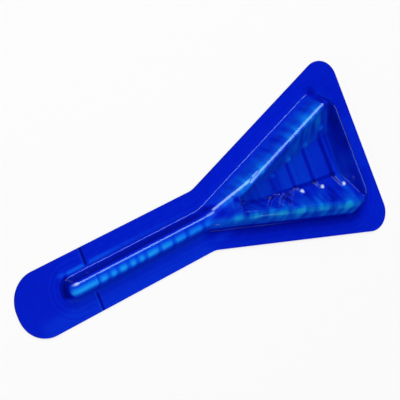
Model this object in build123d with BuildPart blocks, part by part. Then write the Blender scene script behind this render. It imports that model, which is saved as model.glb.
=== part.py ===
from build123d import *
import os
from math import cos, radians, tan

# A cell spreader formed from one thin sheet: a flat flange, a hollow ridge along the handle, and two raised
# arms joined by a front bar round a sunken, ribbed panel. Millimetres. X runs from the handle's end to the
# straight front edge, Z is up, and the flange lies on Z = 0 with the origin at the middle of its length.

os.makedirs("parts", exist_ok=True)

# --- Sheet and flange
SHEET = 0.5
LENGTH = 140.0
END_X = -LENGTH / 2
FRONT_X = LENGTH / 2
END_HALF_WIDTH = 10.4
NECK_X = 2.3
NECK_HALF_WIDTH = 10.14
FRONT_HALF_WIDTH = 32.0
END_CORNER_RADIUS = 9.6
NECK_RADIUS = 8.0
FRONT_CORNER_RADIUS = 6.6

# --- Raised form: the line where its walls leave the flange, and its heights above the flange
WALL_ANGLE = 67.0
RIDGE_END_X = -53.0
RIDGE_HALF_WIDTH = 3.6
RIDGE_HEIGHT = 4.0
FORK_X = 1.5
FORK_RADIUS = 14.0
FOOT_FLARE = 17.8
FOOT_FRONT_X = 63.9
FOOT_CORNER_RADIUS = 7.5
ARM_HEIGHT = 7.2
RISE_START_X = 2.0
RISE_END_X = 19.0
RISE_RADIUS = 12.0
CREST_RADIUS = 1.6
DISH_EDGE_RADIUS = 1.1
FOOT_FILLET = 0.6
TANGENT_GAP = 0.05

# --- Sunken panel between the arms
ARM_TOP_WIDTH = 1.7
PANEL_HEIGHT = 0.4
PANEL_APEX_X = 17.5
PANEL_APEX_HALF_WIDTH = 1.1
PANEL_FRONT_X = 57.5
PANEL_FRONT_HALF_WIDTH = 7.2
DISH_APEX_X = 12.5
PANEL_CORNER_RADIUS = 0.7
DISH_CORNER_RADIUS = 2.2
DISH_SIDE_ANGLE = 45.0
RIM_LOWEST = 5.2
CUT_OVER = 1.0

# --- Ribs across the panel
RIB_COUNT = 4
RIB_PITCH = 7.8
LAST_RIB_X = 55.4
RIB_WIDTH = 2.6
RIB_HEIGHT = 0.7
RIB_DRAFT = 8.0
RIB_HALF_LENGTHS = [3.6, 5.8, 7.7, 10.6]

# --- Score line across the handle, where it can be bent
SCORE_X = -42.4
SCORE_WIDTH = 1.2
SCORE_DEPTH = 0.15
SCORE_CLEARANCE = 0.7


def mitre(skin, angle):
    """How far in plan a corner of this angle moves when its faces move in by the skin."""
    return skin * tan(radians(angle / 2))


def corners_near(sketch, x):
    """The two outline corners that lie nearest this X."""
    return sketch.vertices().sort_by(lambda corner: abs(corner.X - x))[:2]


def flange_outline():
    """The die-cut outline: a straight handle with a rounded end, which flares to a straight front edge."""
    with BuildSketch() as outline:
        with BuildLine():
            Polyline(
                (FRONT_X, 0),
                (FRONT_X, FRONT_HALF_WIDTH),
                (NECK_X, NECK_HALF_WIDTH),
                (END_X, END_HALF_WIDTH),
                (END_X, 0),
            )
            mirror(about=Plane.XZ)
        make_face()
        fillet(corners_near(outline, END_X), radius=END_CORNER_RADIUS)
        fillet(corners_near(outline, NECK_X), radius=NECK_RADIUS)
        fillet(corners_near(outline, FRONT_X), radius=FRONT_CORNER_RADIUS)
    return outline.sketch


def foot_outline(skin):
    """The line on the flange where the walls of the ridge and the arms rise."""
    flare_length = FOOT_FRONT_X - FORK_X
    front_half_width = RIDGE_HALF_WIDTH + flare_length * tan(radians(FOOT_FLARE))
    with BuildSketch(Plane.XY.offset(SHEET - skin)) as outline:
        with BuildLine():
            Polyline(
                (FOOT_FRONT_X, 0),
                (FOOT_FRONT_X, front_half_width),
                (FORK_X, RIDGE_HALF_WIDTH),
                (RIDGE_END_X, RIDGE_HALF_WIDTH),
                (RIDGE_END_X, 0),
            )
            mirror(about=Plane.XZ)
        make_face()
        fillet(corners_near(outline, RIDGE_END_X), radius=RIDGE_HALF_WIDTH - TANGENT_GAP)
        fillet(corners_near(outline, FORK_X), radius=FORK_RADIUS)
        fillet(corners_near(outline, FOOT_FRONT_X), radius=FOOT_CORNER_RADIUS)
        if skin:
            offset(amount=-mitre(skin, WALL_ANGLE))
    return outline.sketch


def arm_height_profile(skin):
    """Side view of the form's top: level along the ridge, a rise over the fork, level along the arms."""
    base = SHEET - skin
    with BuildSketch(Plane.XZ.offset(-FRONT_HALF_WIDTH)) as profile:
        with BuildLine():
            Polyline(
                (END_X, base),
                (END_X, base + RIDGE_HEIGHT),
                (RISE_START_X, base + RIDGE_HEIGHT),
                (RISE_END_X, base + ARM_HEIGHT),
                (FRONT_X, base + ARM_HEIGHT),
                (FRONT_X, base),
                close=True,
            )
        make_face()
        kinks = profile.vertices().filter_by(lambda corner: END_X + 1 < corner.X < FRONT_X - 1)
        fillet(kinks, radius=RISE_RADIUS)
    return profile.sketch


def inner_crest_half_width(x):
    """Half the gap between the arms' inner top edges at this X."""
    flare = radians(FOOT_FLARE)
    wall_run = ARM_HEIGHT / tan(radians(WALL_ANGLE))
    foot = RIDGE_HALF_WIDTH + (x - FORK_X) * tan(flare)
    return foot - (wall_run + ARM_TOP_WIDTH) / cos(flare)


def dish_outline(height, skin):
    """A level section of the dish: its sides run straight from the panel up to the arms' tops."""
    wall_run = ARM_HEIGHT / tan(radians(WALL_ANGLE))
    dish_front_x = FOOT_FRONT_X - wall_run - ARM_TOP_WIDTH
    rise = (height - PANEL_HEIGHT) / (ARM_HEIGHT - PANEL_HEIGHT)
    grow = mitre(skin, DISH_SIDE_ANGLE)

    def between(low, high):
        return low + (high - low) * rise

    apex_x = between(PANEL_APEX_X, DISH_APEX_X) - grow
    apex_half_width = between(PANEL_APEX_HALF_WIDTH, inner_crest_half_width(DISH_APEX_X)) + grow
    front_x = between(PANEL_FRONT_X, dish_front_x) + grow
    front_half_width = between(PANEL_FRONT_HALF_WIDTH, inner_crest_half_width(dish_front_x)) + grow
    radius = between(PANEL_CORNER_RADIUS, DISH_CORNER_RADIUS)
    with BuildSketch(Plane.XY.offset(SHEET - skin + height)) as outline:
        with BuildLine():
            Polyline(
                (front_x, 0),
                (front_x, front_half_width),
                (apex_x, apex_half_width),
                (apex_x, 0),
            )
            mirror(about=Plane.XZ)
        make_face()
        fillet(outline.vertices(), radius=radius)
    return outline.sketch


def dish(skin):
    """The hollow between the arms, over its sunken panel."""
    panel = dish_outline(PANEL_HEIGHT, skin).face()
    above_the_arms = dish_outline(ARM_HEIGHT + CUT_OVER, skin).face()
    with BuildPart() as hollow:
        loft([panel, above_the_arms], ruled=True)
    return hollow.part


def ribs(skin):
    """Beads across the panel: each stands RIB_HEIGHT above it, and follows the dish up both sides."""
    base = SHEET - skin
    trim = mitre(skin, 90 - RIB_DRAFT)
    with BuildPart() as beads:
        for number, half_length in enumerate(RIB_HALF_LENGTHS):
            rib_x = LAST_RIB_X - (RIB_COUNT - 1 - number) * RIB_PITCH
            with BuildSketch(Plane.XY.offset(base)):
                with Locations((rib_x, 0)):
                    SlotOverall(2 * (half_length - trim), RIB_WIDTH - 2 * trim, rotation=90)
            extrude(amount=ARM_HEIGHT, taper=RIB_DRAFT)
        add(dish(skin).moved(Location((0, 0, RIB_HEIGHT))), mode=Mode.SUBTRACT)
    return beads.part


def crest_edges(form, lowest):
    """The edges along the form's top, without the lines across it where the rise starts and ends."""
    def on_the_crest(edge):
        middle = edge.center()
        by_the_rise = RISE_START_X - RISE_RADIUS < middle.X < RISE_END_X + RISE_RADIUS
        crosses_rise = by_the_rise and abs(middle.Y) < SHEET
        return middle.Z > lowest - SHEET / 2 and not crosses_rise
    return form.edges().filter_by(on_the_crest)


def raised_form(skin):
    """The ridge and arms as a solid: the upper face at skin 0, the hollow under it at the sheet's thickness."""
    with BuildPart() as form:
        extrude(foot_outline(skin), amount=ARM_HEIGHT, taper=90 - WALL_ANGLE)
        extrude(arm_height_profile(skin), amount=2 * FRONT_HALF_WIDTH, mode=Mode.INTERSECT)
        fillet(crest_edges(form, SHEET - skin + RIDGE_HEIGHT), radius=CREST_RADIUS - skin)
        add(dish(skin), mode=Mode.SUBTRACT)
        rim = form.edges(Select.NEW).filter_by(GeomType.BSPLINE)
        rim = rim.filter_by(lambda edge: edge.center().Z > SHEET - skin + RIM_LOWEST)
        if not skin:
            fillet(rim, radius=DISH_EDGE_RADIUS)
        add(ribs(skin))
    return form.part


def foot_edges(sheet_form, height):
    """The line where the raised form meets the flange's face at this height."""
    level = sheet_form.faces().filter_by_position(Axis.Z, height, height)
    return level.sort_by(SortBy.AREA)[-1].inner_wires()[0].edges()


def score_line():
    """Shallow V grooves across the handle: one on each side of the ridge, and one over its top."""
    top_half_width = RIDGE_HALF_WIDTH - RIDGE_HEIGHT / tan(radians(WALL_ANGLE))
    flange_start = RIDGE_HALF_WIDTH + SCORE_CLEARANCE
    runs = [
        (SHEET, flange_start, END_HALF_WIDTH + CUT_OVER),
        (SHEET, -END_HALF_WIDTH - CUT_OVER, -flange_start),
        (SHEET + RIDGE_HEIGHT, -top_half_width, top_half_width),
    ]
    with BuildPart() as grooves:
        for level, first_y, last_y in runs:
            with BuildSketch(Plane.XZ.offset(-last_y)):
                with BuildLine():
                    Polyline(
                        (SCORE_X - SCORE_WIDTH / 2, level),
                        (SCORE_X, level - SCORE_DEPTH),
                        (SCORE_X + SCORE_WIDTH / 2, level),
                        (SCORE_X, level + SCORE_DEPTH),
                        close=True,
                    )
                make_face()
            extrude(amount=last_y - first_y)
    return grooves.part


with BuildPart() as spreader:
    extrude(flange_outline(), amount=SHEET)
    add(raised_form(0))
    add(raised_form(SHEET), mode=Mode.SUBTRACT)
    fillet(foot_edges(spreader, SHEET), radius=FOOT_FILLET)
    fillet(foot_edges(spreader, 0), radius=FOOT_FILLET + SHEET)
    add(score_line(), mode=Mode.SUBTRACT)

spreader.part.label = "spreader"
export_step(spreader.part, "parts/spreader.step")
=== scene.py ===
import math

import bpy
import numpy as np
from mathutils import Matrix, Quaternion, Vector
from mathutils.geometry import delaunay_2d_cdt
from mathutils.kdtree import KDTree

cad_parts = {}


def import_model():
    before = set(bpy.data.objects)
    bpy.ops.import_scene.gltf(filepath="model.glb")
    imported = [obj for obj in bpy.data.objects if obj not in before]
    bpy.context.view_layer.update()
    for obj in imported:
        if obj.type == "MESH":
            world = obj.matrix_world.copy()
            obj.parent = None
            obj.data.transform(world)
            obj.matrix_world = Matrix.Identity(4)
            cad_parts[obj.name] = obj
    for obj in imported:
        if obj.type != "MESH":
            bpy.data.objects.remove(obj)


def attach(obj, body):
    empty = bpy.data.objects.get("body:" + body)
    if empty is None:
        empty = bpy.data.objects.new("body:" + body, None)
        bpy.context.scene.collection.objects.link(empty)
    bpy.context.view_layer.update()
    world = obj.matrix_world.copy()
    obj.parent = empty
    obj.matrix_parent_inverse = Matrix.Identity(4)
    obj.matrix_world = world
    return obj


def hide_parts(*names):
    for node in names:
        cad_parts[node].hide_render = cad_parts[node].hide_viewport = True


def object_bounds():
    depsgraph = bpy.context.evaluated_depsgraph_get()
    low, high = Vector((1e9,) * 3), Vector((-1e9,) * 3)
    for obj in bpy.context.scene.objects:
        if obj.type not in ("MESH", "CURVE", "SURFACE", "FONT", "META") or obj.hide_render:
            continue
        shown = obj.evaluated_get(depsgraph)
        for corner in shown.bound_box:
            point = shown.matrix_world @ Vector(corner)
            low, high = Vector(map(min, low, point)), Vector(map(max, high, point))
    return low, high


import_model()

# A cell spreader formed from one thin sheet of clear blue plastic. The sheet is laid out flat as a fine
# net of triangles, then one Geometry Nodes tree lifts it into its ridge, arms, panel and ribs.
# Lengths in the form are millimetres, as a toolmaker would draw it; the finished mesh is in metres.

CAD_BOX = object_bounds()
MM = 0.001

# --- Sheet and flange
SHEET = 0.5
LENGTH = round((CAD_BOX[1][0] - CAD_BOX[0][0]) / MM, 2)
END_X = -LENGTH / 2
FRONT_X = LENGTH / 2
END_HALF_WIDTH = 10.4
NECK_X = 2.3
NECK_HALF_WIDTH = 10.14
FRONT_HALF_WIDTH = 32.0
END_CORNER_RADIUS = 9.6
NECK_RADIUS = 8.0
FRONT_CORNER_RADIUS = 6.6

# --- Raised form: its walls leave the flange at the foot and bend over at the crest
WALL_ANGLE = math.radians(67.0)
RIDGE_HALF_WIDTH = 3.6
RIDGE_CAP_X = -49.45
RIDGE_HEIGHT = 4.0
FORK_X = 1.5
FORK_BLEND = 1.0
FOOT_FLARE = math.radians(17.8)
FOOT_FRONT_X = 63.9
FOOT_CORNER_RADIUS = 7.5
FOOT_FILLET = 0.6
FILLET_TOP = 1.0
ARM_HEIGHT = 7.2
RISE_START_X = 2.0
RISE_END_X = 19.0
RISE_BLEND = 0.25
RIDGE_CREST_RADIUS = 1.8
ARM_CREST_RADIUS = 3.0
CLIMB_CREST_EXTRA = 1.0
NOSE_DOME_FROM_X = RIDGE_CAP_X + 0.3
NOSE_DOME_FULL_X = RIDGE_CAP_X - 2.0

# --- Sunken panel, and the dish of slopes round it
ARM_TOP_WIDTH = 1.65
PANEL_HEIGHT = 0.4
PANEL_APEX_X = 17.5
PANEL_APEX_HALF_WIDTH = 1.1
PANEL_FRONT_X = 57.5
PANEL_FRONT_HALF_WIDTH = 7.2
PANEL_TAPER = (PANEL_FRONT_HALF_WIDTH - PANEL_APEX_HALF_WIDTH) / (PANEL_FRONT_X - PANEL_APEX_X)
PANEL_CORNER_RADIUS = 0.7
PANEL_APEX_CORNER_RADIUS = 0.4
DISH_APEX_X = 12.5
DISH_FRONT_X = 59.1
DISH_CORNER_GROWTH = 1.5
DISH_LEAST_RUN = 0.5
DISH_END_BLEND = 0.5
DISH_CORNER_BLEND = 0.8
DISH_RIM_BLEND = 0.5
PANEL_EDGE_BLEND = 0.6

# --- Ribs
RIB_COUNT = 4
RIB_PITCH = 7.8
LAST_RIB_X = 55.4
RIB_WIDTH = 2.6
RIB_HEIGHT = 0.7
RIB_HALF_LENGTHS = [3.6, 5.8, 7.7, 10.4]
RIB_FLANK_OUT = -0.5
RIB_FLANK_IN = 0.55

# --- Score line across the handle
SCORE_X = -42.4
SCORE_WIDTH = 1.2
SCORE_DEPTH = 0.15
SCORE_CLEARANCE = 0.7
SCORE_END_RUN = 0.3
RIDGE_WALL_HALF_RUN = 0.9

# --- Spacing of the flat net, and the finish of its edges
OUTLINE_STEP = 0.9
BEND_STEP = 0.5
RIB_STEP = 0.35
FILL_STEP = 0.55
FILL_CLEARANCE = 0.42
FILL_FLARE = 0.33
WALL_STARTS_IN = 0.2
WALL_RINGS_FROM = -0.5
FORK_RING_RADIUS = 10.0
DISH_RINGS_FROM = -0.12
DISH_RINGS_TO = 1.12
DISH_RING_COUNT = 24
RIB_RING_OFFSETS = (-0.85, -0.6, -0.4, -0.2, 0.0, 0.2, 0.4, 0.65)
FEWEST_ARC_STEPS = 4
SMALLEST_ARC_SPACED = 3.0
TANGENT_GAP = 0.001
NET_TOLERANCE = 0.02
MERGE_DISTANCE = 0.004
CRISP_EDGE_ANGLE = math.radians(65.0)


class Value:
    """A number running through a node tree, written as plain arithmetic."""

    def __init__(self, tree, socket):
        self.tree = tree
        self.socket = socket

    def math(self, operation, *others, swapped=False):
        node = self.tree.nodes.new("ShaderNodeMath")
        node.operation = operation
        terms = [self, *others]
        if swapped:
            terms.reverse()
        for socket, term in zip(node.inputs, terms):
            if isinstance(term, Value):
                self.tree.links.new(term.socket, socket)
            else:
                socket.default_value = term
        return Value(self.tree, node.outputs[0])

    def __add__(self, other):
        return self.math("ADD", other)

    def __radd__(self, other):
        return self.math("ADD", other, swapped=True)

    def __sub__(self, other):
        return self.math("SUBTRACT", other)

    def __rsub__(self, other):
        return self.math("SUBTRACT", other, swapped=True)

    def __mul__(self, other):
        return self.math("MULTIPLY", other)

    def __rmul__(self, other):
        return self.math("MULTIPLY", other, swapped=True)

    def __truediv__(self, other):
        return self.math("DIVIDE", other)

    def __rtruediv__(self, other):
        return self.math("DIVIDE", other, swapped=True)

    def __neg__(self):
        return self.math("MULTIPLY", -1.0)

    def __gt__(self, other):
        return self.math("GREATER_THAN", other)

    def __abs__(self):
        return self.math("ABSOLUTE")


def least(first, second):
    return first.math("MINIMUM", second)


def greatest(first, second):
    return first.math("MAXIMUM", second)


def root(value):
    return value.math("SQRT")


def hypotenuse(first, second):
    return root(first * first + second * second)


def clamped(value, low, high):
    return least(greatest(value, low), high)


def rounded_least(first, second, width):
    """The lower of two heights, with the edge between them eased over a width."""
    return first.math("SMOOTH_MIN", second, width)


def rounded_greatest(first, second, width):
    return first.math("SMOOTH_MAX", second, width)


def eased(value, low, high):
    """0 at low, 1 at high, and a smooth S between. High may lie below low."""
    t = clamped((value - low) / (high - low), 0.0, 1.0)
    return t * t * (3.0 - 2.0 * t)


def before(value, full, none):
    """1 up to full, then falling to 0 at none."""
    return 1.0 - eased(value, full, none)


def near(value, full, none):
    """1 within full of zero, then falling to 0 at none on both sides."""
    return before(abs(value), full, none)


def set_stops(elements, stops):
    """Gives a new ramp its (position, colour) stops in place of the two it starts with."""
    for element, (position, colour) in zip(elements, (stops[0], stops[-1])):
        element.position = position
        element.color = (*colour, 1.0)
    for position, colour in stops[1:-1]:
        elements.new(position).color = (*colour, 1.0)


class Tree:
    """Builds a node tree: every node that isn't plain arithmetic comes from add()."""

    def __init__(self, tree):
        self.tree = tree

    def add(self, kind, settings=None, inputs=None):
        node = self.tree.nodes.new(kind)
        for name, setting in (settings or {}).items():
            if name == "stops":
                set_stops(node.color_ramp.elements, setting)
            else:
                setattr(node, name, setting)
        for key, item in (inputs or {}).items():
            socket = node.inputs[key]
            if isinstance(item, Value):
                self.tree.links.new(item.socket, socket)
            elif isinstance(item, bpy.types.NodeSocket):
                self.tree.links.new(item, socket)
            else:
                socket.default_value = item
        return node

    def value(self, socket):
        return Value(self.tree, socket)


# --- The flat net -----------------------------------------------------------------------------------------

def rounded_half(corners, radii, step):
    """Points and inward normals along a half outline, walked anticlockwise, with its corners rounded."""
    places = []
    legs = [(np.array(a, float), np.array(b, float)) for a, b in zip(corners, corners[1:])]
    trims = [0.0] * len(corners)
    turns = [0.0] * len(corners)
    for number, radius in radii.items():
        arriving = legs[number - 1][1] - legs[number - 1][0]
        leaving = legs[number][1] - legs[number][0]
        cross = arriving[0] * leaving[1] - arriving[1] * leaving[0]
        turns[number] = math.atan2(cross, arriving @ leaving)
        trims[number] = radius * math.tan(abs(turns[number]) / 2)
    for number, (start, end) in enumerate(legs):
        length = np.linalg.norm(end - start)
        along = (end - start) / length
        inward = np.array([-along[1], along[0]])
        first = start + along * trims[number]
        last = end - along * trims[number + 1]
        count = max(1, round(np.linalg.norm(last - first) / step))
        for part in range(count + 1):
            places.append((first + (last - first) * part / count, inward))
        turn = turns[number + 1]
        if turn:
            side = math.copysign(1.0, turn)
            radius = radii[number + 1]
            centre = last + inward * side * radius
            count = max(FEWEST_ARC_STEPS, round(abs(turn) * max(radius, SMALLEST_ARC_SPACED) / step))
            for part in range(1, count):
                angle = turn * part / count
                spin = np.array([[math.cos(angle), -math.sin(angle)], [math.sin(angle), math.cos(angle)]])
                normal = spin @ inward
                places.append((centre - normal * side * radius, normal))
    points = np.array([place for place, _ in places])
    normals = np.array([normal for _, normal in places])
    return points, normals


def with_reflection(points):
    """A half outline on the +Y side and its reflection, as one closed loop."""
    other = points[::-1] * [1.0, -1.0]
    off_axis = np.abs(other[:, 1]) > 1e-9
    return np.vstack([points, other[off_axis]])


def flange_outline():
    """The die-cut outline: a straight handle with a rounded end, which flares to a straight front edge."""
    corners = [
        (FRONT_X, 0.0),
        (FRONT_X, FRONT_HALF_WIDTH),
        (NECK_X, NECK_HALF_WIDTH),
        (END_X, END_HALF_WIDTH),
        (END_X, 0.0),
    ]
    radii = {1: FRONT_CORNER_RADIUS, 2: NECK_RADIUS, 3: END_CORNER_RADIUS}
    points, _ = rounded_half(corners, radii, OUTLINE_STEP)
    return with_reflection(points)


def foot_rings():
    """Rings of points along the walls, close together where the section bends."""
    reach = FOOT_FRONT_X - FORK_X
    corners = [
        (FOOT_FRONT_X, 0.0),
        (FOOT_FRONT_X, RIDGE_HALF_WIDTH + reach * math.tan(FOOT_FLARE)),
        (FORK_X, RIDGE_HALF_WIDTH),
        (RIDGE_CAP_X - RIDGE_HALF_WIDTH, RIDGE_HALF_WIDTH),
        (RIDGE_CAP_X - RIDGE_HALF_WIDTH, 0.0),
    ]
    radii = {1: FOOT_CORNER_RADIUS, 2: FORK_RING_RADIUS, 3: RIDGE_HALF_WIDTH - TANGENT_GAP}
    points, normals = rounded_half(corners, radii, BEND_STEP)
    rise = np.clip((points[:, 0] - RISE_START_X) / (RISE_END_X - RISE_START_X), 0.0, 1.0)
    height = RIDGE_HEIGHT + (ARM_HEIGHT - RIDGE_HEIGHT) * rise
    wall_run = height / math.tan(WALL_ANGLE)
    tangent = ARM_CREST_RADIUS * math.tan(WALL_ANGLE / 2)
    straight_to = wall_run - tangent * math.cos(WALL_ANGLE)
    foot = [np.full(len(points), inset) for inset in np.linspace(WALL_RINGS_FROM, WALL_STARTS_IN, 8)]
    wall = [WALL_STARTS_IN + (straight_to - WALL_STARTS_IN) * part for part in (0.25, 0.5, 0.75)]
    crest = [straight_to + (wall_run + tangent - straight_to) * part for part in np.linspace(0.0, 1.0, 13)]
    return [with_reflection(points + normals * inset[:, None]) for inset in foot + wall + crest]


def dish_ring(level):
    """The dish's outline between its panel, at level 0, and its rim, at level 1."""
    rim_front = crest_half_width(DISH_FRONT_X)
    front_x = PANEL_FRONT_X + (DISH_FRONT_X - PANEL_FRONT_X) * level
    apex_x = PANEL_APEX_X + (DISH_APEX_X - PANEL_APEX_X) * level
    front = PANEL_FRONT_HALF_WIDTH + (rim_front - PANEL_FRONT_HALF_WIDTH) * level
    apex = PANEL_APEX_HALF_WIDTH + (crest_half_width(DISH_APEX_X) - PANEL_APEX_HALF_WIDTH) * level
    corners = [(front_x, 0.0), (front_x, front), (apex_x, apex), (apex_x, 0.0)]
    grown = DISH_CORNER_GROWTH * level
    radii = {1: PANEL_CORNER_RADIUS + grown, 2: PANEL_APEX_CORNER_RADIUS + grown}
    points, _ = rounded_half(corners, radii, BEND_STEP)
    return with_reflection(points)


def crest_half_width(x):
    """Half the gap between the arms' inner top edges."""
    foot = RIDGE_HALF_WIDTH + (x - FORK_X) * math.tan(FOOT_FLARE)
    wall_run = ARM_HEIGHT / math.tan(WALL_ANGLE)
    return foot - (wall_run + ARM_TOP_WIDTH) / math.cos(FOOT_FLARE)


def rib_places():
    """Each rib's X and half its length, from the fork to the front."""
    first = LAST_RIB_X - (RIB_COUNT - 1) * RIB_PITCH
    return [(first + number * RIB_PITCH, half) for number, half in enumerate(RIB_HALF_LENGTHS)]


def rib_rings():
    """Rings of points round each rib, close together over its flanks."""
    rings = []
    for rib_x, half in rib_places():
        for grow in RIB_RING_OFFSETS:
            radius = RIB_WIDTH / 2 + grow
            straight = half - RIB_WIDTH / 2
            ring = []
            for side in (1.0, -1.0):
                for y in np.arange(-straight, straight, RIB_STEP):
                    ring.append((rib_x + side * radius, side * y))
                for angle in np.arange(0.0, math.pi, RIB_STEP / radius):
                    turn = angle if side > 0 else angle + math.pi
                    ring.append((rib_x + radius * math.cos(turn), side * straight + radius * math.sin(turn)))
            rings.append(np.array(ring))
    return rings


def score_rows():
    """Rows of points along the score line's edges, flanks and root."""
    offsets = np.linspace(-0.5, 0.5, 5) * SCORE_WIDTH
    across = np.arange(-NECK_HALF_WIDTH, NECK_HALF_WIDTH, BEND_STEP)
    return [np.array([(SCORE_X + offset, y) for y in across]) for offset in offsets]


def fill_points(placed):
    """An even grid over the sheet, left out wherever a point is already placed close by."""
    tree = KDTree(len(placed))
    for number, (x, y) in enumerate(placed):
        tree.insert((x, y, 0.0), number)
    tree.balance()
    fill = []
    for x in np.arange(END_X, FRONT_X, FILL_STEP):
        half = END_HALF_WIDTH if x < NECK_X else END_HALF_WIDTH + (x - NECK_X) * FILL_FLARE
        for y in np.arange(-math.ceil(half / FILL_STEP) * FILL_STEP, half, FILL_STEP):
            if tree.find((x, y, 0.0))[2] > FILL_CLEARANCE:
                fill.append((x, y))
    return fill


def flat_net():
    """The sheet before it is formed: a flat triangle mesh, dense where the form bends."""
    outline = flange_outline()
    rings = foot_rings()
    rings += [dish_ring(level) for level in np.linspace(DISH_RINGS_FROM, DISH_RINGS_TO, DISH_RING_COUNT)]
    lines = np.vstack(rings + rib_rings() + score_rows())
    points = np.vstack([outline, lines, fill_points([*lines, *outline])])
    corners = [Vector(point) for point in points]
    loop = list(range(len(outline)))
    coords, _, faces, *_ = delaunay_2d_cdt(corners, [], [loop], 1, NET_TOLERANCE)
    mesh = bpy.data.meshes.new("formed_sheet")
    used = sorted({corner for face in faces for corner in face})
    order = {corner: number for number, corner in enumerate(used)}
    places = [(coords[corner].x * MM, coords[corner].y * MM, 0.0) for corner in used]
    mesh.from_pydata(places, [], [[order[corner] for corner in face] for face in faces])
    piece = bpy.data.objects.new("formed_sheet", mesh)
    bpy.context.scene.collection.objects.link(piece)
    return piece


# --- The form ---------------------------------------------------------------------------------------------

def foot_distance(x, across):
    """How far a place lies inside the line where the walls leave the flange."""
    ridge = RIDGE_HALF_WIDTH - hypotenuse(least(x - RIDGE_CAP_X, 0.0), across)
    flare = (RIDGE_HALF_WIDTH + (x - FORK_X) * math.tan(FOOT_FLARE) - across) * math.cos(FOOT_FLARE)
    side = rounded_greatest(ridge, flare, FORK_BLEND)
    centre_x = FOOT_FRONT_X - FOOT_CORNER_RADIUS
    centre_y = RIDGE_HALF_WIDTH + (centre_x - FORK_X) * math.tan(FOOT_FLARE)
    centre_y -= FOOT_CORNER_RADIUS / math.cos(FOOT_FLARE)
    from_x = x - centre_x
    from_y = across - centre_y
    past_side = (from_x * math.cos(FOOT_FLARE) + from_y * math.sin(FOOT_FLARE)) > 0.0
    at_corner = past_side * (from_y > 0.0)
    corner = FOOT_CORNER_RADIUS - hypotenuse(from_x, from_y)
    return at_corner * corner + (1.0 - at_corner) * least(side, FOOT_FRONT_X - x)


def arc_rise(run, radius, angle):
    """Height gained over a run that starts level, bends up through an arc and goes on at its angle."""
    arc_run = radius * math.sin(angle)
    bend = clamped(run, 0.0, arc_run)
    arc = radius - root(radius * radius - bend * bend)
    return arc + greatest(run - arc_run, 0.0) * math.tan(angle)


def top_height(x):
    """The height of the tops: level along the ridge, a climb past the fork, level along the arms."""
    slope = (ARM_HEIGHT - RIDGE_HEIGHT) / (RISE_END_X - RISE_START_X)
    rise = rounded_greatest((x - RISE_START_X) * slope, 0.0, RISE_BLEND)
    return RIDGE_HEIGHT + rounded_least(rise, ARM_HEIGHT - RIDGE_HEIGHT, RISE_BLEND)


def crest_radius_at(x):
    """The radius of the crests: small on the ridge, larger on the arms, largest where they climb."""
    arms = eased(x, FORK_X - 1.0, FORK_X + 2.0)
    climb = eased(x, RISE_START_X, RISE_START_X + 3.0) * before(x, RISE_END_X, RISE_END_X + 6.0)
    return RIDGE_CREST_RADIUS + (ARM_CREST_RADIUS - RIDGE_CREST_RADIUS) * arms + climb * CLIMB_CREST_EXTRA


def raised_height(x, across):
    """The ridge and arms before the dish is sunk between them."""
    inside = foot_distance(x, across)
    top = top_height(x)
    crest_radius = crest_radius_at(x)
    crest_run = crest_radius * math.tan(WALL_ANGLE / 2)
    foot_run = FOOT_FILLET * math.tan(WALL_ANGLE / 2)
    from_foot = arc_rise(inside + foot_run, FOOT_FILLET, WALL_ANGLE)
    from_top = top - arc_rise(top / math.tan(WALL_ANGLE) + crest_run - inside, crest_radius, WALL_ANGLE)
    body = greatest(least(from_foot, from_top), least(from_foot, FILLET_TOP))
    off_centre = (RIDGE_HALF_WIDTH - clamped(inside, -1.0, RIDGE_HALF_WIDTH)) / RIDGE_HALF_WIDTH
    dome = RIDGE_HEIGHT * root(greatest(1.0 - off_centre * off_centre, 0.0))
    nose = eased(x, NOSE_DOME_FROM_X, NOSE_DOME_FULL_X)
    return body + nose * (least(body, dome) - body)


def dish_height(x, across):
    """The sunken panel and the slopes that rise from it to the arms."""
    drop = ARM_HEIGHT - PANEL_HEIGHT
    border = PANEL_APEX_HALF_WIDTH + (x - PANEL_APEX_X) * PANEL_TAPER
    run = greatest(crest_half_width(x) - border, DISH_LEAST_RUN)
    side = PANEL_HEIGHT + (across - border) * drop / run
    apex = PANEL_HEIGHT + (PANEL_APEX_X - x) * (drop / (PANEL_APEX_X - DISH_APEX_X))
    front = PANEL_HEIGHT + (x - PANEL_FRONT_X) * (drop / (DISH_FRONT_X - PANEL_FRONT_X))
    ends = rounded_greatest(apex, front, DISH_END_BLEND)
    return rounded_greatest(rounded_greatest(side, PANEL_HEIGHT, PANEL_EDGE_BLEND), ends, DISH_CORNER_BLEND)


def rib_height(x, across):
    """How far the ribs stand above the panel and the dish's slopes."""
    height = None
    for rib_x, half in rib_places():
        beyond = greatest(across - (half - RIB_WIDTH / 2), 0.0)
        inside = RIB_WIDTH / 2 - hypotenuse(x - rib_x, beyond)
        bead = eased(inside, RIB_FLANK_OUT, RIB_FLANK_IN) * RIB_HEIGHT
        height = bead if height is None else greatest(height, bead)
    return height


def score_depth(x, across):
    """The V-shaped score across the flange each side and over the ridge."""
    groove = greatest(1.0 - abs(x - SCORE_X) / (SCORE_WIDTH / 2), 0.0) * SCORE_DEPTH
    from_wall = abs(across - RIDGE_HALF_WIDTH + RIDGE_WALL_HALF_RUN) - RIDGE_WALL_HALF_RUN
    return groove * clamped((from_wall - SCORE_CLEARANCE / 2) / SCORE_END_RUN, 0.0, 1.0)


def moved(tree, geometry, offset):
    return tree.add("GeometryNodeSetPosition", None, {"Geometry": geometry, "Offset": offset}).outputs[0]


def upward(tree, height):
    return tree.add("ShaderNodeCombineXYZ", None, {"Z": height}).outputs[0]


def shaded(tree, geometry, smooth, selection=True, domain="FACE"):
    shade = tree.add("GeometryNodeSetShadeSmooth", {"domain": domain}, {
        "Geometry": geometry, "Selection": selection, "Shade Smooth": smooth})
    return shade.outputs[0]


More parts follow.
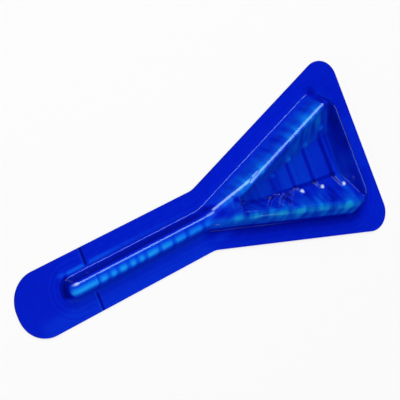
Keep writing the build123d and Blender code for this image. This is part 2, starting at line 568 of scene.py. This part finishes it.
def underside(tree, upper, thickness):
    """The upper face, moved in by the sheet's thickness along its normals and turned over.

    Where a bend is tighter than the thickness, as under the dish's rim, it folds over itself a little.
    """
    normal = tree.add("GeometryNodeInputNormal").outputs[0]
    inward = tree.add("ShaderNodeVectorMath", {"operation": "SCALE"}, {"Vector": normal, "Scale": -thickness})
    lower = moved(tree, upper, inward.outputs[0])
    return tree.add("GeometryNodeFlipFaces", None, {"Mesh": lower}).outputs[0]


def with_cut_edge(tree, upper, place, thickness):
    """The upper face with the flange's cut edge, which drops straight down from its rim to the floor."""
    faces = tree.add("GeometryNodeInputMeshEdgeNeighbors")
    rim = tree.add("FunctionNodeCompare", {"data_type": "INT", "operation": "EQUAL"}, {
        2: faces.outputs["Face Count"], 3: 1})
    edge = tree.add("GeometryNodeExtrudeMesh", {"mode": "EDGES"}, {
        "Mesh": upper, "Selection": rim.outputs[0], "Offset": upward(tree, -thickness), "Offset Scale": 1.0})
    on_floor = tree.add("ShaderNodeVectorMath", {"operation": "MULTIPLY"}, {0: place, 1: (1.0, 1.0, 0.0)})
    dropped = tree.add("GeometryNodeSetPosition", None, {
        "Geometry": edge.outputs["Mesh"], "Selection": edge.outputs["Top"], "Position": on_floor.outputs[0]})
    return shaded(tree, dropped.outputs[0], False, edge.outputs["Side"])


def creased(tree, geometry):
    """The closed sheet, shaded with sharp lines where the cut edge meets the faces."""
    turn = tree.add("GeometryNodeInputMeshEdgeAngle")
    sharp = tree.add("FunctionNodeCompare", {"data_type": "FLOAT", "operation": "GREATER_THAN"}, {
        0: turn.outputs["Unsigned Angle"], 1: CRISP_EDGE_ANGLE})
    return shaded(tree, geometry, False, sharp.outputs[0], "EDGE")


def form_tree():
    """The rule that lifts the flat net: sheet thickness in, closed formed sheet out."""
    group = bpy.data.node_groups.new("form_sheet", "GeometryNodeTree")
    group.interface.new_socket("Geometry", in_out="INPUT", socket_type="NodeSocketGeometry")
    thickness_input = group.interface.new_socket("Thickness", in_out="INPUT", socket_type="NodeSocketFloat")
    finish_input = group.interface.new_socket("Finish", in_out="INPUT", socket_type="NodeSocketMaterial")
    group.interface.new_socket("Geometry", in_out="OUTPUT", socket_type="NodeSocketGeometry")
    tree = Tree(group)
    start = tree.add("NodeGroupInput")
    thickness = tree.value(start.outputs["Thickness"])
    place = tree.add("GeometryNodeInputPosition").outputs[0]
    parts = tree.add("ShaderNodeSeparateXYZ", None, {"Vector": place})
    x = tree.value(parts.outputs["X"]) / MM
    across = abs(tree.value(parts.outputs["Y"]) / MM)

    formed = rounded_least(raised_height(x, across), dish_height(x, across), DISH_RIM_BLEND)
    formed += rib_height(x, across)
    upper = moved(tree, start.outputs["Geometry"], upward(tree, (formed + SHEET) * MM))
    upper = shaded(tree, upper, True)
    lower = underside(tree, upper, thickness)
    upper = moved(tree, upper, upward(tree, -score_depth(x, across) * MM))
    both = tree.add("GeometryNodeJoinGeometry")
    group.links.new(with_cut_edge(tree, upper, place, thickness), both.inputs[0])
    group.links.new(lower, both.inputs[0])
    closed = tree.add("GeometryNodeMergeByDistance", None, {
        "Geometry": both.outputs[0], "Distance": MERGE_DISTANCE * MM})
    real = tree.add("GeometryNodeRealizeInstances", None, {"Geometry": creased(tree, closed.outputs[0])})
    finished = tree.add("GeometryNodeSetMaterial", None, {
        "Geometry": real.outputs[0], "Material": start.outputs["Finish"]})
    end = tree.add("NodeGroupOutput")
    group.links.new(finished.outputs[0], end.inputs[0])
    return group, thickness_input.identifier, finish_input.identifier


def formed_sheet(finish):
    """The flat net, formed by its tree and turned into a plain mesh."""
    piece = flat_net()
    group, thickness_input, finish_input = form_tree()
    modifier = piece.modifiers.new("form", "NODES")
    modifier.node_group = group
    modifier[thickness_input] = SHEET * MM
    modifier[finish_input] = finish
    graph = bpy.context.evaluated_depsgraph_get()
    mesh = bpy.data.meshes.new_from_object(piece.evaluated_get(graph))
    piece.modifiers.clear()
    flat = piece.data
    piece.data = mesh
    bpy.data.meshes.remove(flat)
    return piece


# --- Finish -----------------------------------------------------------------------------------------------

# The colour runs from deep navy to pale green-blue with one level: partly how far the sheet was drawn,
# where thin is paler and greener, and partly painted light through the sheet and painted shade.
DRAW_AND_LIGHT_COLOURS = [
    (0.00, (0.001, 0.005, 0.22)),
    (0.15, (0.001, 0.006, 0.42)),
    (0.30, (0.001, 0.013, 0.60)),
    (0.45, (0.002, 0.030, 0.68)),
    (0.60, (0.002, 0.060, 0.76)),
    (0.75, (0.003, 0.115, 0.86)),
    (0.90, (0.006, 0.220, 0.93)),
    (1.00, (0.012, 0.330, 0.95)),
]

# Levels of the colour, as (place, level): partly how far the sheet is drawn, and partly painted light
# through the sheet and painted shade. Places are millimetres: across the handle, in from the foot of the
# wall, or along from the handle's end.
ACROSS_RIDGE = [
    (-9.0, 0.42), (-7.0, 0.41), (-5.0, 0.37), (-4.3, 0.42), (-2.6, 0.48), (-2.1, 0.58), (-1.7, 0.76),
    (-1.1, 0.98), (-0.5, 0.97), (0.1, 0.84), (0.7, 0.60), (1.3, 0.62), (2.0, 0.36), (2.3, 0.06),
    (3.1, 0.06), (3.7, 0.34), (4.3, 0.31),
]
LOWER_ARM = [
    (-5.0, 0.32), (-3.0, 0.29), (-1.0, 0.19), (0.1, 0.13), (0.5, 0.27), (1.0, 0.66), (2.0, 0.68),
    (3.0, 0.83), (3.6, 0.77), (4.4, 0.60), (5.2, 0.44), (6.2, 0.36), (9.0, 0.33),
]
UPPER_ARM = [
    (-3.0, 0.29), (-1.0, 0.32), (0.0, 0.40), (0.8, 0.45), (1.6, 0.50), (2.6, 0.66), (3.4, 0.78),
    (4.1, 0.64), (4.8, 0.54), (10.0, 0.55),
]
ALONG_PANEL = [
    (88.0, 0.44), (98.0, 0.48), (102.0, 0.33), (106.0, 0.47), (114.0, 0.47), (118.0, 0.42), (126.0, 0.35),
]
# Painted light on the flange beside the ridge's +Y foot, by place along.
FLANGE_GLOW = [
    (17.0, 0.0), (20.0, 0.42), (26.0, 0.44), (27.2, 0.10), (28.4, 0.10), (29.5, 0.34), (34.0, 0.32),
    (42.0, 0.18), (50.0, 0.12), (60.0, 0.07), (70.0, 0.0),
]
FLANGE_GLOW_Y = 5.0

# The line of shade that runs down the panel, as (along, across).
PANEL_SHADE_LINE = [
    (81.5, 4.0), (83.0, 1.4), (86.0, 0.4), (90.0, -1.5), (94.0, -2.5), (100.0, -3.3), (108.0, -4.2),
    (116.0, -5.3), (124.0, -6.0),
]
PANEL_SHADE_LEVEL = 0.14

# The painted glow of light through the ridge fades towards the fork and has dark gaps, which lie at these
# places along.
RIDGE_BAND_Y = -0.3
RIDGE_BAND_FADE = 0.13
RIDGE_GAPS = [27.5, 31.5, 34.9, 39.0, 42.5, 45.8, 51.4, 56.9, 62.3, 69.0]
RIDGE_GAP_Y = -0.9
RIDGE_GAP_REACH = (1.5, 2.8)
RIDGE_GAP_CHANGE = -0.30

# The nose, and the flange before it: a paler strip and a glow spot of painted light on the flange, and a
# ring of painted shade at the nose's foot.
NOSE_RING_LEVEL = 0.06
NOSE_FLANGE_LEVEL = 0.29
NOSE_FLANGE_PALER = 0.12
NOSE_GLOW_SPOT = (18.4, 5.2)
NOSE_GLOW_REACH = (2.6, 1.4)
NOSE_GLOW_CHANGE = 0.34

# Each rib has a dark line of painted shade beside its flank, and a painted highlight as a paler cap at its
# +Y end.
RIB_LINE_BESIDE = 1.35
FIRST_RIB_LINE_CHANGE = 0.08
RIB_LINE_CHANGE = 0.2
RIB_CAP_INSET = 0.9
RIB_CAP_REACH = (1.6, 1.0)
RIB_CAP_CHANGE = 0.28

# Painted shade: the front bar is darker than the arms, and darkest on the +Y side.
BAR_LEVEL = 0.32
BAR_DARKER = 0.18

# Painted glints: pale spots that stand for highlights, at the -Y end of each rib but the first, and beside
# the ridge's nose.
GLINT_PALE = (0.62, 0.76, 0.94, 1.0)
GLINT_MOST = 0.85
GLINT_INSETS = [0.15, -0.05, -0.5]
GLINT_RIB_REACH = (1.0, 0.85)
GLINT_RIB_CHANGE = 1.5
GLINT_NOSE_SPOT = (20.0, 1.5)
GLINT_NOSE_REACH = (1.6, 0.6)
GLINT_NOSE_CHANGE = 0.7

# Grain of the draw, waves in the flange with their light and shade also painted, a painted highlight and
# shade at the score, and the finish of the surface.
RAISED_TINT = (0.8, 1.02, 0.86, 1.0)
CLOUD_CHANGE = 0.10
BAND_CHANGE = 0.75
BAND_STRETCH = (1.0, 0.16, 0.16)
CUT_EDGE_CHANGE = 0.30
SCORE_HIGHLIGHT = 0.16
SCORE_SHADE = 0.02
RIPPLE_PITCH = 1.7
RIPPLE_INSET = -3.6
RIPPLE_SHADING = 0.035
RIPPLE_HEIGHT = 0.012
ORANGE_PEEL_HEIGHT = 0.02
ROUGHNESS = 0.045
WEAR_ROUGHNESS = 0.04
CORNER_ROUGHNESS = 0.12
DULL_CORNER_ALONG = 128.1

# Painted light and shade patches: (along, in from the foot, reach along, reach across, change)
LOWER_LIGHT_AND_SHADE_PATCHES = [
    (81.0, 2.8, 2.2, 2.2, 0.15), (87.3, 2.8, 2.4, 2.2, 0.15), (96.0, 3.2, 2.6, 2.4, 0.20),
    (103.8, 3.2, 2.8, 2.6, 0.25), (111.0, 3.4, 2.4, 2.6, 0.19), (121.8, 3.2, 2.8, 3.0, 0.28),
    (78.0, 3.6, 2.0, 1.6, -0.14), (84.0, 4.0, 1.8, 2.4, -0.33), (90.0, 2.8, 1.6, 1.6, -0.15),
    (99.3, 3.4, 1.8, 1.8, -0.12), (107.8, 3.6, 1.6, 1.6, -0.07), (115.5, 3.4, 2.8, 2.2, -0.22),
    (73.5, 4.6, 5.4, 2.6, -0.42), (77.0, -1.6, 7.0, 2.4, 0.14), (125.6, 1.0, 2.4, 2.2, 0.20),
    (128.2, 3.2, 3.2, 2.2, -0.40), (93.0, 4.8, 1.8, 1.4, 0.15), (98.6, 5.8, 1.6, 1.8, 0.26),
    (105.4, 5.8, 2.4, 2.8, 0.26), (111.2, 5.8, 2.2, 2.6, 0.26), (123.2, 6.0, 2.6, 3.6, 0.28),
    (93.8, 8.8, 1.8, 1.6, -0.22), (97.4, 9.0, 1.8, 1.6, -0.30), (102.4, 6.8, 1.4, 3.2, -0.24),
    (117.4, 6.2, 1.6, 2.6, -0.26), (82.6, 8.2, 1.6, 1.4, -0.20), (109.0, 9.0, 1.6, 1.4, 0.20),
    (115.2, 8.6, 1.6, 2.2, 0.20), (124.6, 9.4, 1.8, 2.4, 0.22), (104.2, 9.0, 1.6, 1.6, -0.42),
    (109.0, 5.4, 4.8, 4.0, 0.20), (115.8, 2.2, 3.0, 2.4, -0.22), (77.0, 3.9, 7.0, 1.8, -0.20),
    (84.5, 5.8, 1.8, 1.6, -0.20), (92.0, 6.0, 1.4, 1.2, -0.20), (102.0, 8.0, 1.8, 2.8, -0.24),
    (98.0, 8.6, 2.0, 1.4, -0.22), (116.0, 5.2, 1.4, 1.4, -0.26), (114.0, 7.4, 1.4, 2.2, 0.20),
    (125.0, 6.0, 1.8, 3.4, 0.16),
]
UPPER_LIGHT_AND_SHADE_PATCHES = [
    (87.0, 5.6, 1.8, 1.8, 0.22), (90.4, 7.6, 2.0, 2.2, 0.20), (95.4, 5.6, 2.6, 3.0, 0.16),
    (98.8, 8.6, 1.6, 1.6, 0.22), (108.5, 5.8, 1.8, 2.2, 0.04), (111.2, 7.4, 2.2, 4.0, 0.22),
    (116.6, 6.0, 1.8, 2.0, 0.10), (120.2, 5.0, 1.8, 1.8, 0.20), (123.0, 7.4, 2.4, 4.6, 0.32),
    (73.5, 1.0, 4.6, 1.4, -0.42), (76.0, 4.0, 5.0, 2.6, -0.42), (82.4, 4.3, 1.4, 1.6, -0.40),
    (77.0, 6.6, 5.0, 2.2, -0.26), (84.2, 8.6, 2.6, 3.0, -0.38), (93.4, 3.0, 9.0, 1.0, 0.04),
    (127.8, 3.2, 3.2, 6.0, -0.46), (119.0, 11.0, 2.0, 2.4, 0.06), (92.0, 2.3, 3.0, 0.7, -0.12),
    (82.0, 5.0, 1.6, 2.0, -0.22), (102.0, 6.6, 12.0, 2.4, 0.13), (95.5, 4.0, 2.4, 1.0, -0.15),
    (77.0, 6.0, 2.4, 1.4, -0.20), (126.2, 3.2, 1.6, 2.4, -0.30),
]


def traced(tree, value, stops):
    """A level that runs through a list of (place, level) stops, eased between them."""
    level = stops[0][1]
    for (start, low), (end, high) in zip(stops, stops[1:]):
        step = tree.add("ShaderNodeMapRange", {"interpolation_type": "SMOOTHSTEP"}, {
            "Value": value, "From Min": start, "From Max": end, "To Min": 0.0, "To Max": high - low})
        level = tree.value(step.outputs["Result"]) + level
    return level


def patch(tree, place, spot, reach, change):
    """A soft oval: the full change at its middle and none beyond its reach."""
    scale = (1.0 / reach[0], 1.0 / reach[1], 0.0)
    shift = (-spot[0] / reach[0], -spot[1] / reach[1], 0.0)
    scaled = tree.add("ShaderNodeVectorMath", {"operation": "MULTIPLY_ADD"}, {0: place, 1: scale, 2: shift})
    out = tree.add("ShaderNodeVectorMath", {"operation": "LENGTH"}, {0: scaled.outputs["Vector"]})
    fade = tree.add("ShaderNodeMapRange", {"interpolation_type": "SMOOTHSTEP"}, {
        "Value": out.outputs["Value"], "To Min": change, "To Max": 0.0})
    return tree.value(fade.outputs["Result"])


def arm_place(along, inside, side):
    """The plan place that lies a distance in from the foot of one arm's outer wall."""
    foot = RIDGE_HALF_WIDTH + (along + END_X - FORK_X) * math.tan(FOOT_FLARE)
    return along, side * (foot - inside / math.cos(FOOT_FLARE))


def nose_draw_and_light(tree, place, along, y, level):
    """The level round the nose: a plain flange with a painted glow, and a ring of painted shade at its foot.
    """
    from_nose = hypotenuse(along - (RIDGE_CAP_X - END_X), y)
    ahead = before(along, 19.2, 21.0)
    flange = NOSE_FLANGE_LEVEL + NOSE_FLANGE_PALER * before(y, -7.0, -3.5) * eased(along, 3.0, 9.0)
    flange += patch(tree, place, NOSE_GLOW_SPOT, NOSE_GLOW_REACH, NOSE_GLOW_CHANGE)
    level = level + ahead * eased(from_nose, 3.9, 4.8) * (flange - level)
    ring = eased(from_nose, 2.4, 3.0) * before(from_nose, 4.2, 5.2)
    return level - ahead * ring * eased(y, -3.2, -1.2) * greatest(level - NOSE_RING_LEVEL, 0.0)


def ridge_draw_and_light(tree, place, along, y):
    """Level of the ridge and the handle beside it: draw, with painted light through it and painted shade."""
    level = traced(tree, y, ACROSS_RIDGE)
    level += traced(tree, along, FLANGE_GLOW) * near(y - FLANGE_GLOW_Y, 0.0, 1.3)
    for gap in RIDGE_GAPS:
        level += patch(tree, place, (gap, RIDGE_GAP_Y), RIDGE_GAP_REACH, RIDGE_GAP_CHANGE)
    level -= eased(along, 46.0, 72.0) * RIDGE_BAND_FADE * near(y - RIDGE_BAND_Y, 1.2, 2.4)
    return nose_draw_and_light(tree, place, along, y, level)


def arm_draw_and_light(tree, place, inside, side, across_arm, patches):
    """Level of one arm, the flange outside it and the dish's slope inside: draw, painted light and shade."""
    level = traced(tree, inside, across_arm)
    for along_at, inside_at, reach_along, reach_across, change in patches:
        spot = arm_place(along_at, inside_at, side)
        level += patch(tree, place, spot, (reach_along, reach_across), change)
    return level


def panel_draw_and_light(tree, along, y, level):
    """The level with the flat panel in it, and the line of shade down the panel."""
    apex = PANEL_APEX_X - END_X
    border = PANEL_APEX_HALF_WIDTH + (along - apex) * PANEL_TAPER
    panel = eased(border - abs(y), -0.7, 0.3) * eased(along, apex - 1.0, apex + 1.5)
    level = level + panel * (traced(tree, along, ALONG_PANEL) - level)
    shade = near(y - traced(tree, along, PANEL_SHADE_LINE), 0.25, 0.95)
    shade *= eased(along, 81.0, 82.5) * before(along, 124.5, 126.5)
    shade *= 0.55 + 0.35 * eased(along, 96.0, 102.0)
    return level - shade * greatest(level - PANEL_SHADE_LEVEL, 0.0)


def rib_shade_and_highlights(tree, place, along, y):
    """Change at the ribs: a dark line of painted shade beside each, and its paler cap, a painted highlight.
    """
    change = 0.0
    for number, (rib_x, half) in enumerate(rib_places()):
        rib_along = rib_x - END_X
        cap = (rib_along - 0.2, half - RIB_CAP_INSET)
        change = patch(tree, place, cap, RIB_CAP_REACH, RIB_CAP_CHANGE) + change
        line = near(along - (rib_along - RIB_LINE_BESIDE), 0.2, 0.85) * before(abs(y), half - 2.2, half - 0.8)
        change -= line * (RIB_LINE_CHANGE if number else FIRST_RIB_LINE_CHANGE)
    return change


def pan_draw_and_light(tree, place, along, y, inside):
    """Level of the two arms, the dish and the flange round them: draw, painted light and painted shade."""
    lower = arm_draw_and_light(tree, place, inside, -1.0, LOWER_ARM, LOWER_LIGHT_AND_SHADE_PATCHES)
    upper = arm_draw_and_light(tree, place, inside, 1.0, UPPER_ARM, UPPER_LIGHT_AND_SHADE_PATCHES)
    level = lower + eased(y, -1.2, 1.2) * (upper - lower)
    level = panel_draw_and_light(tree, along, y, level) + rib_shade_and_highlights(tree, place, along, y)
    # Painted shade on the front bar.
    on_bar = eased(along, 127.2, 128.6) * eased(inside, 0.0, 0.6)
    bar = BAR_LEVEL - BAR_DARKER * eased(y, -4.0, 4.0)
    return level + on_bar * (bar - level)


def noise(tree, place, scale, detail):
    """Cloudy noise round a middle of one half."""
    node = tree.add("ShaderNodeTexNoise", None, {"Vector": place, "Scale": scale, "Detail": detail})
    return tree.value(node.outputs["Fac"])


def grain(tree, place, along, inside):
    """Uneven draw: faint clouds all over, and bands up the walls of the arms."""
    clouds = (noise(tree, place, 0.45, 2.0) - 0.5) * CLOUD_CHANGE
    stretched = tree.add("ShaderNodeVectorMath", {"operation": "MULTIPLY"}, {0: place, 1: BAND_STRETCH})
    bands = noise(tree, stretched.outputs["Vector"], 0.42, 1.5) - 0.5
    on_wall = eased(inside, 0.2, 1.0) * before(inside, 8.0, 12.0) * eased(along, 74.0, 84.0)
    return clouds + bands * on_wall * BAND_CHANGE


def score_highlight_and_shade(along, y):
    """A painted highlight beside the score and faint painted shade in it, broken at the ridge's walls."""
    from_score = along - (SCORE_X - END_X - SCORE_WIDTH / 2 - 0.2)
    change = SCORE_HIGHLIGHT * near(from_score, 0.1, 0.35) - SCORE_SHADE * near(from_score - 0.9, 0.1, 0.5)
    return change * (1.0 - eased(abs(y), 1.4, 2.2) * before(abs(y), 3.6, 4.1))


def painted_glints(tree, place):
    """How strongly the painted glints show: 0 away from them."""
    level = 0.0
    for (rib_x, half), inset in zip(rib_places()[1:], GLINT_INSETS):
        spot = (rib_x - END_X - 0.1, -(half + inset))
        level = patch(tree, place, spot, GLINT_RIB_REACH, GLINT_RIB_CHANGE) + level
    level += patch(tree, place, GLINT_NOSE_SPOT, GLINT_NOSE_REACH, GLINT_NOSE_CHANGE)
    return clamped(level, 0.0, GLINT_MOST)


def flange_ripple(along, inside):
    """Fine waves in the flange beside the foot, strongest at the handle's end."""
    waves = (inside * (2.0 * math.pi / RIPPLE_PITCH)).math("SINE") * near(inside - RIPPLE_INSET, 1.8, 3.6)
    return waves * (1.0 - eased(along, 14.0, 34.0) * 0.6)


def blue_sheet():
    """Glossy blue plastic, coloured by the sheet's draw, painted light and shade, and painted glints."""
    material = bpy.data.materials.new("blue_sheet")
    material.use_nodes = True
    material.node_tree.nodes.clear()
    tree = Tree(material.node_tree)
    in_plan = tree.add("ShaderNodeVectorMath", {"operation": "MULTIPLY_ADD"}, {
        0: tree.add("ShaderNodeTexCoord").outputs["Object"],
        1: (1.0 / MM, 1.0 / MM, 1.0 / MM),
        2: (-END_X, 0.0, 0.0),
    })
    place = in_plan.outputs["Vector"]
    parts = tree.add("ShaderNodeSeparateXYZ", None, {"Vector": place})
    along = tree.value(parts.outputs["X"])
    y = tree.value(parts.outputs["Y"])
    z = tree.value(parts.outputs["Z"])
    inside = foot_distance(along + END_X, abs(y))

    ridge = ridge_draw_and_light(tree, place, along, y)
    pan = pan_draw_and_light(tree, place, along, y, inside)
    # The level mixes the sheet's draw with painted light through it and painted shade.
    draw_and_light = ridge + eased(along, 68.0, 74.5) * (pan - ridge)
    draw_and_light += grain(tree, place, along, inside)
    draw_and_light -= before(z, SHEET - 0.08, SHEET - 0.01) * before(inside, -1.2, -0.8) * CUT_EDGE_CHANGE
    draw_and_light += score_highlight_and_shade(along, y)
    ripple = flange_ripple(along, inside)
    # The waves' light and shade is painted into the colour as well.
    draw_and_light += ripple * RIPPLE_SHADING

    draw_and_light_ramp = tree.add("ShaderNodeValToRGB", {"stops": DRAW_AND_LIGHT_COLOURS}, {"Fac": draw_and_light})
    raised = eased(inside, 0.3, 1.2) * eased(along, 74.0, 84.0)
    tinted = tree.add("ShaderNodeMix", {"data_type": "RGBA", "blend_type": "MULTIPLY"}, {
        0: raised, 6: draw_and_light_ramp.outputs["Color"], 7: RAISED_TINT})
    # Pale spots of painted glints, mixed over the colour.
    colour = tree.add("ShaderNodeMix", {"data_type": "RGBA"}, {
        0: painted_glints(tree, place), 6: tinted.outputs[2], 7: GLINT_PALE})

    height = ripple * RIPPLE_HEIGHT + noise(tree, place, 0.35, 1.0) * ORANGE_PEEL_HEIGHT
    bump = tree.add("ShaderNodeBump", None, {"Strength": 1.0, "Distance": MM, "Height": height})
    roughness = ROUGHNESS + noise(tree, place, 0.8, 3.0) * WEAR_ROUGHNESS
    corner = near(along - DULL_CORNER_ALONG, 0.2, 0.6) * before(y, -8.5, -7.0)
    roughness += corner * eased(inside, 1.0, 2.0) * CORNER_ROUGHNESS
    shader = tree.add("ShaderNodeBsdfPrincipled", None, {
        "Base Color": colour.outputs[2], "Roughness": roughness, "IOR": 1.5, "Normal": bump.outputs[0]})
    out = tree.add("ShaderNodeOutputMaterial")
    material.node_tree.links.new(shader.outputs[0], out.inputs[0])
    return material


# --- Setting ----------------------------------------------------------------------------------------------

VIEW_AZIMUTH = math.radians(162.01)
VIEW_ELEVATION = math.radians(56.31)
VIEW_ROLL = math.radians(83.72)
VIEW_DISTANCE = 0.6696
VIEW_AIM = Vector((0.0, 0.0, SHEET * MM))
SENSOR_WIDTH = 36.0
LENS = 194.57
SHIFT_X = 0.0038
SHIFT_Y = 0.0581
FLOOR_HALF_WIDTH = 1.5
FLOOR_GLOW = 0.72
CARD_COLOUR = (0.6, 0.88, 1.0)


def camera():
    """A long lens over the spreader, rolled so that the handle runs down and to the left."""
    data = bpy.data.cameras.new("camera")
    data.lens = LENS
    data.sensor_width = SENSOR_WIDTH
    data.shift_x = SHIFT_X
    data.shift_y = SHIFT_Y
    data.clip_start = 0.01
    data.clip_end = 20.0
    back = Vector((
        math.cos(VIEW_AZIMUTH) * math.cos(VIEW_ELEVATION),
        math.sin(VIEW_AZIMUTH) * math.cos(VIEW_ELEVATION),
        math.sin(VIEW_ELEVATION),
    ))
    level_right = Vector((0.0, 0.0, 1.0)).cross(back).normalized()
    level_up = back.cross(level_right)
    right = level_right * math.cos(VIEW_ROLL) + level_up * math.sin(VIEW_ROLL)
    up = back.cross(right)
    item = bpy.data.objects.new("camera", data)
    bpy.context.scene.collection.objects.link(item)
    turned = Matrix((right, up, back)).transposed().to_4x4()
    item.matrix_world = Matrix.Translation(VIEW_AIM + back * VIEW_DISTANCE) @ turned
    bpy.context.scene.camera = item


def softbox(name, direction, distance, width, height, power, glossy=True, roll=0.0):
    """A rectangular lamp that faces the spreader from a direction, turned about its own axis by a roll."""
    data = bpy.data.lights.new(name, "AREA")
    data.shape = "RECTANGLE"
    data.size = width
    data.size_y = height
    data.energy = power
    item = bpy.data.objects.new(name, data)
    bpy.context.scene.collection.objects.link(item)
    toward = Vector(direction).normalized()
    item.location = toward * distance
    item.rotation_mode = "QUATERNION"
    item.rotation_quaternion = toward.to_track_quat("Z", "Y") @ Quaternion((0.0, 0.0, 1.0), roll)
    item.visible_glossy = glossy
    return item


def floor():
    """A wide white floor: evenly bright, still shaded by the spreader, and not mirrored in its gloss."""
    mesh = bpy.data.meshes.new("floor")
    half = FLOOR_HALF_WIDTH
    corners = [(-half, -half, 0.0), (half, -half, 0.0), (half, half, 0.0), (-half, half, 0.0)]
    mesh.from_pydata(corners, [], [(0, 1, 2, 3)])
    item = bpy.data.objects.new("floor", mesh)
    bpy.context.scene.collection.objects.link(item)
    material = bpy.data.materials.new("pale_floor")
    material.use_nodes = True
    material.node_tree.nodes.clear()
    tree = Tree(material.node_tree)
    paper = tree.add("ShaderNodeBsdfDiffuse", None, {"Color": (0.92, 0.92, 0.92, 1.0)})
    white = tree.add("ShaderNodeEmission", None, {"Color": (1.0, 1.0, 1.0, 1.0), "Strength": 1.0})
    rays = tree.add("ShaderNodeLightPath")
    seen = tree.value(rays.outputs["Is Camera Ray"])
    seen = greatest(seen, tree.value(rays.outputs["Is Glossy Ray"]))
    seen = greatest(seen, tree.value(rays.outputs["Is Transmission Ray"]))
    mixed = tree.add("ShaderNodeMixShader", None, {
        0: seen * FLOOR_GLOW, 1: paper.outputs[0], 2: white.outputs[0]})
    out = tree.add("ShaderNodeOutputMaterial")
    material.node_tree.links.new(mixed.outputs[0], out.inputs[0])
    mesh.materials.append(material)
    item.visible_glossy = False


def world():
    """A black world, which adds no light of its own."""
    setting = bpy.data.worlds.new("studio")
    setting.use_nodes = True
    bpy.context.scene.world = setting
    background = setting.node_tree.nodes["Background"]
    background.inputs["Color"].default_value = (1.0, 1.0, 1.0, 1.0)
    background.inputs["Strength"].default_value = 0.0


bpy.context.scene.view_settings.view_transform = "Standard"
camera()
floor()
world()

# Four lamps light the spreader and don't show in its gloss. The cards only show in its gloss.
softbox("key", (0.15, 0.62, 0.77), 1.2, 1.2, 1.05, 9.5, glossy=False)
softbox("key_fill", (0.0, 0.7, 0.7), 1.2, 1.2, 1.2, 5.0, glossy=False)
softbox("overhead", (-0.1, -0.4, 1.0), 1.4, 1.6, 1.6, 8.0, glossy=False)
softbox("near_fill", (-0.7, -0.45, 0.55), 1.4, 1.4, 1.4, 5.0, glossy=False)
for card in (
    softbox("key_card", (0.384, 0.588, 0.712), 1.2, 0.50, 0.46, 5.2, roll=math.radians(19.4)),
    softbox("far_card", (0.05, 0.853, 0.522), 1.2, 0.30, 0.42, 3.7),
    softbox("front_card", (0.98, -0.17, 0.10), 1.0, 0.5, 0.16, 0.5),
    softbox("side_card", (0.27, -0.95, 0.13), 1.0, 0.14, 0.16, 0.10),
):
    card.data.color = CARD_COLOUR
    card.visible_diffuse = False

sheet = formed_sheet(blue_sheet())
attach(sheet, "root")
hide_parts("spreader")
